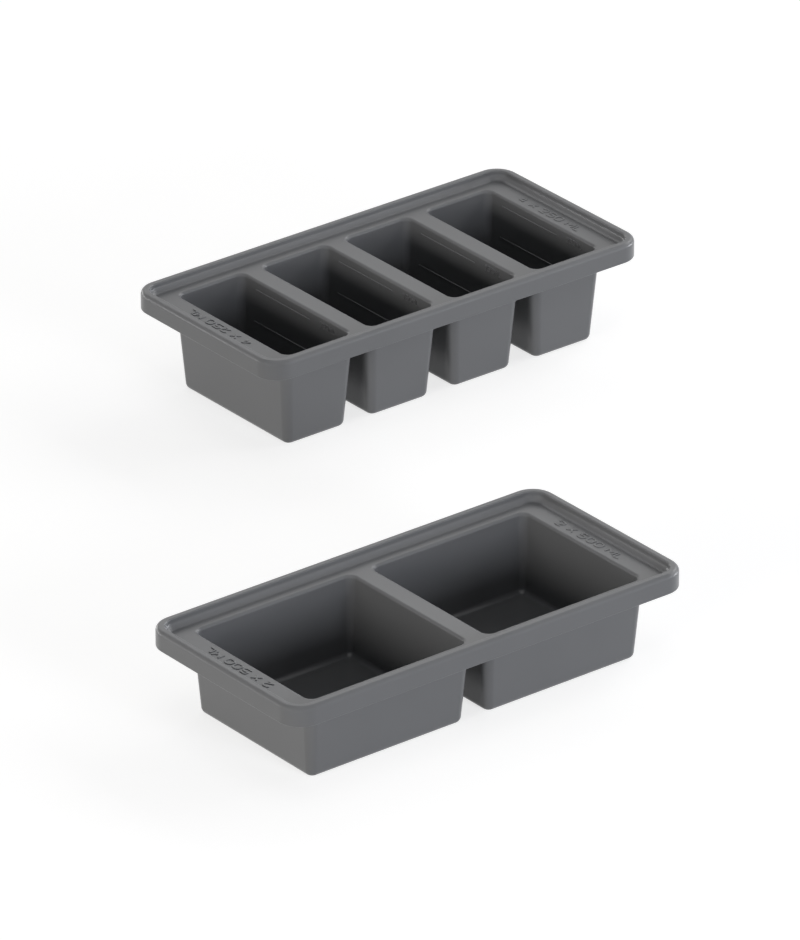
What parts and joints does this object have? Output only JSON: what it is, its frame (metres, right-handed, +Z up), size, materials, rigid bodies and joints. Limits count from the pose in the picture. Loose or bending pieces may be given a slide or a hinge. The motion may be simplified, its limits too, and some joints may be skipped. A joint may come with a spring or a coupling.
{
  "type": "baby food freezer tray set",
  "caption": "Dark grey silicone freezer trays with deep rectangular pockets, recessed ledges and steel-reinforced rims, for freezing portions of baby food.",
  "frame": {"origin": "midway between the two trays, on the surface that they stand on", "axes": "+Z up, +X along the long side of both trays, +Y from the two-pocket tray towards the four-pocket tray, which stands at +X, +Y"},
  "size_m": [0.54, 0.485, 0.0686],
  "materials": {
    "silicone": "satin moulded silicone rubber, dark neutral grey",
    "steel_rod": "drawn stainless steel rod, moulded in and out of sight"
  },
  "bodies": {
    "four_tray": {"four_tray_rim": "silicone", "four_tray_steel_frame": "steel_rod", "four_tray_pocket_1": "silicone", "four_tray_pocket_2": "silicone", "four_tray_pocket_3": "silicone", "four_tray_pocket_4": "silicone"},
    "two_tray": {"two_tray_rim": "silicone", "two_tray_steel_frame": "steel_rod", "two_tray_pocket_1": "silicone", "two_tray_pocket_2": "silicone"},
    "four_base_1": {"four_tray_base_1": "silicone"},
    "four_base_2": {"four_tray_base_2": "silicone"},
    "four_base_3": {"four_tray_base_3": "silicone"},
    "four_base_4": {"four_tray_base_4": "silicone"},
    "two_base_1": {"two_tray_base_1": "silicone"},
    "two_base_2": {"two_tray_base_2": "silicone"}
  },
  "joints": [
    {"name": "two_tray_lift", "type": "slide", "parent": "four_tray", "child": "two_tray", "axis": [0, 0, 1], "range_m": [0, 0.09]},
    {"name": "four_base_1_push", "type": "slide", "parent": "four_tray", "child": "four_base_1", "axis": [0, 0, 1], "range_m": [0, 0.006], "stiffness_N_per_m": 1200},
    {"name": "four_base_2_push", "type": "slide", "parent": "four_tray", "child": "four_base_2", "axis": [0, 0, 1], "range_m": [0, 0.006], "stiffness_N_per_m": 1200},
    {"name": "four_base_3_push", "type": "slide", "parent": "four_tray", "child": "four_base_3", "axis": [0, 0, 1], "range_m": [0, 0.006], "stiffness_N_per_m": 1200},
    {"name": "four_base_4_push", "type": "slide", "parent": "four_tray", "child": "four_base_4", "axis": [0, 0, 1], "range_m": [0, 0.006], "stiffness_N_per_m": 1200},
    {"name": "two_base_1_push", "type": "slide", "parent": "two_tray", "child": "two_base_1", "axis": [0, 0, 1], "range_m": [0, 0.006], "stiffness_N_per_m": 1200},
    {"name": "two_base_2_push", "type": "slide", "parent": "two_tray", "child": "two_base_2", "axis": [0, 0, 1], "range_m": [0, 0.006], "stiffness_N_per_m": 1200}
  ]
}
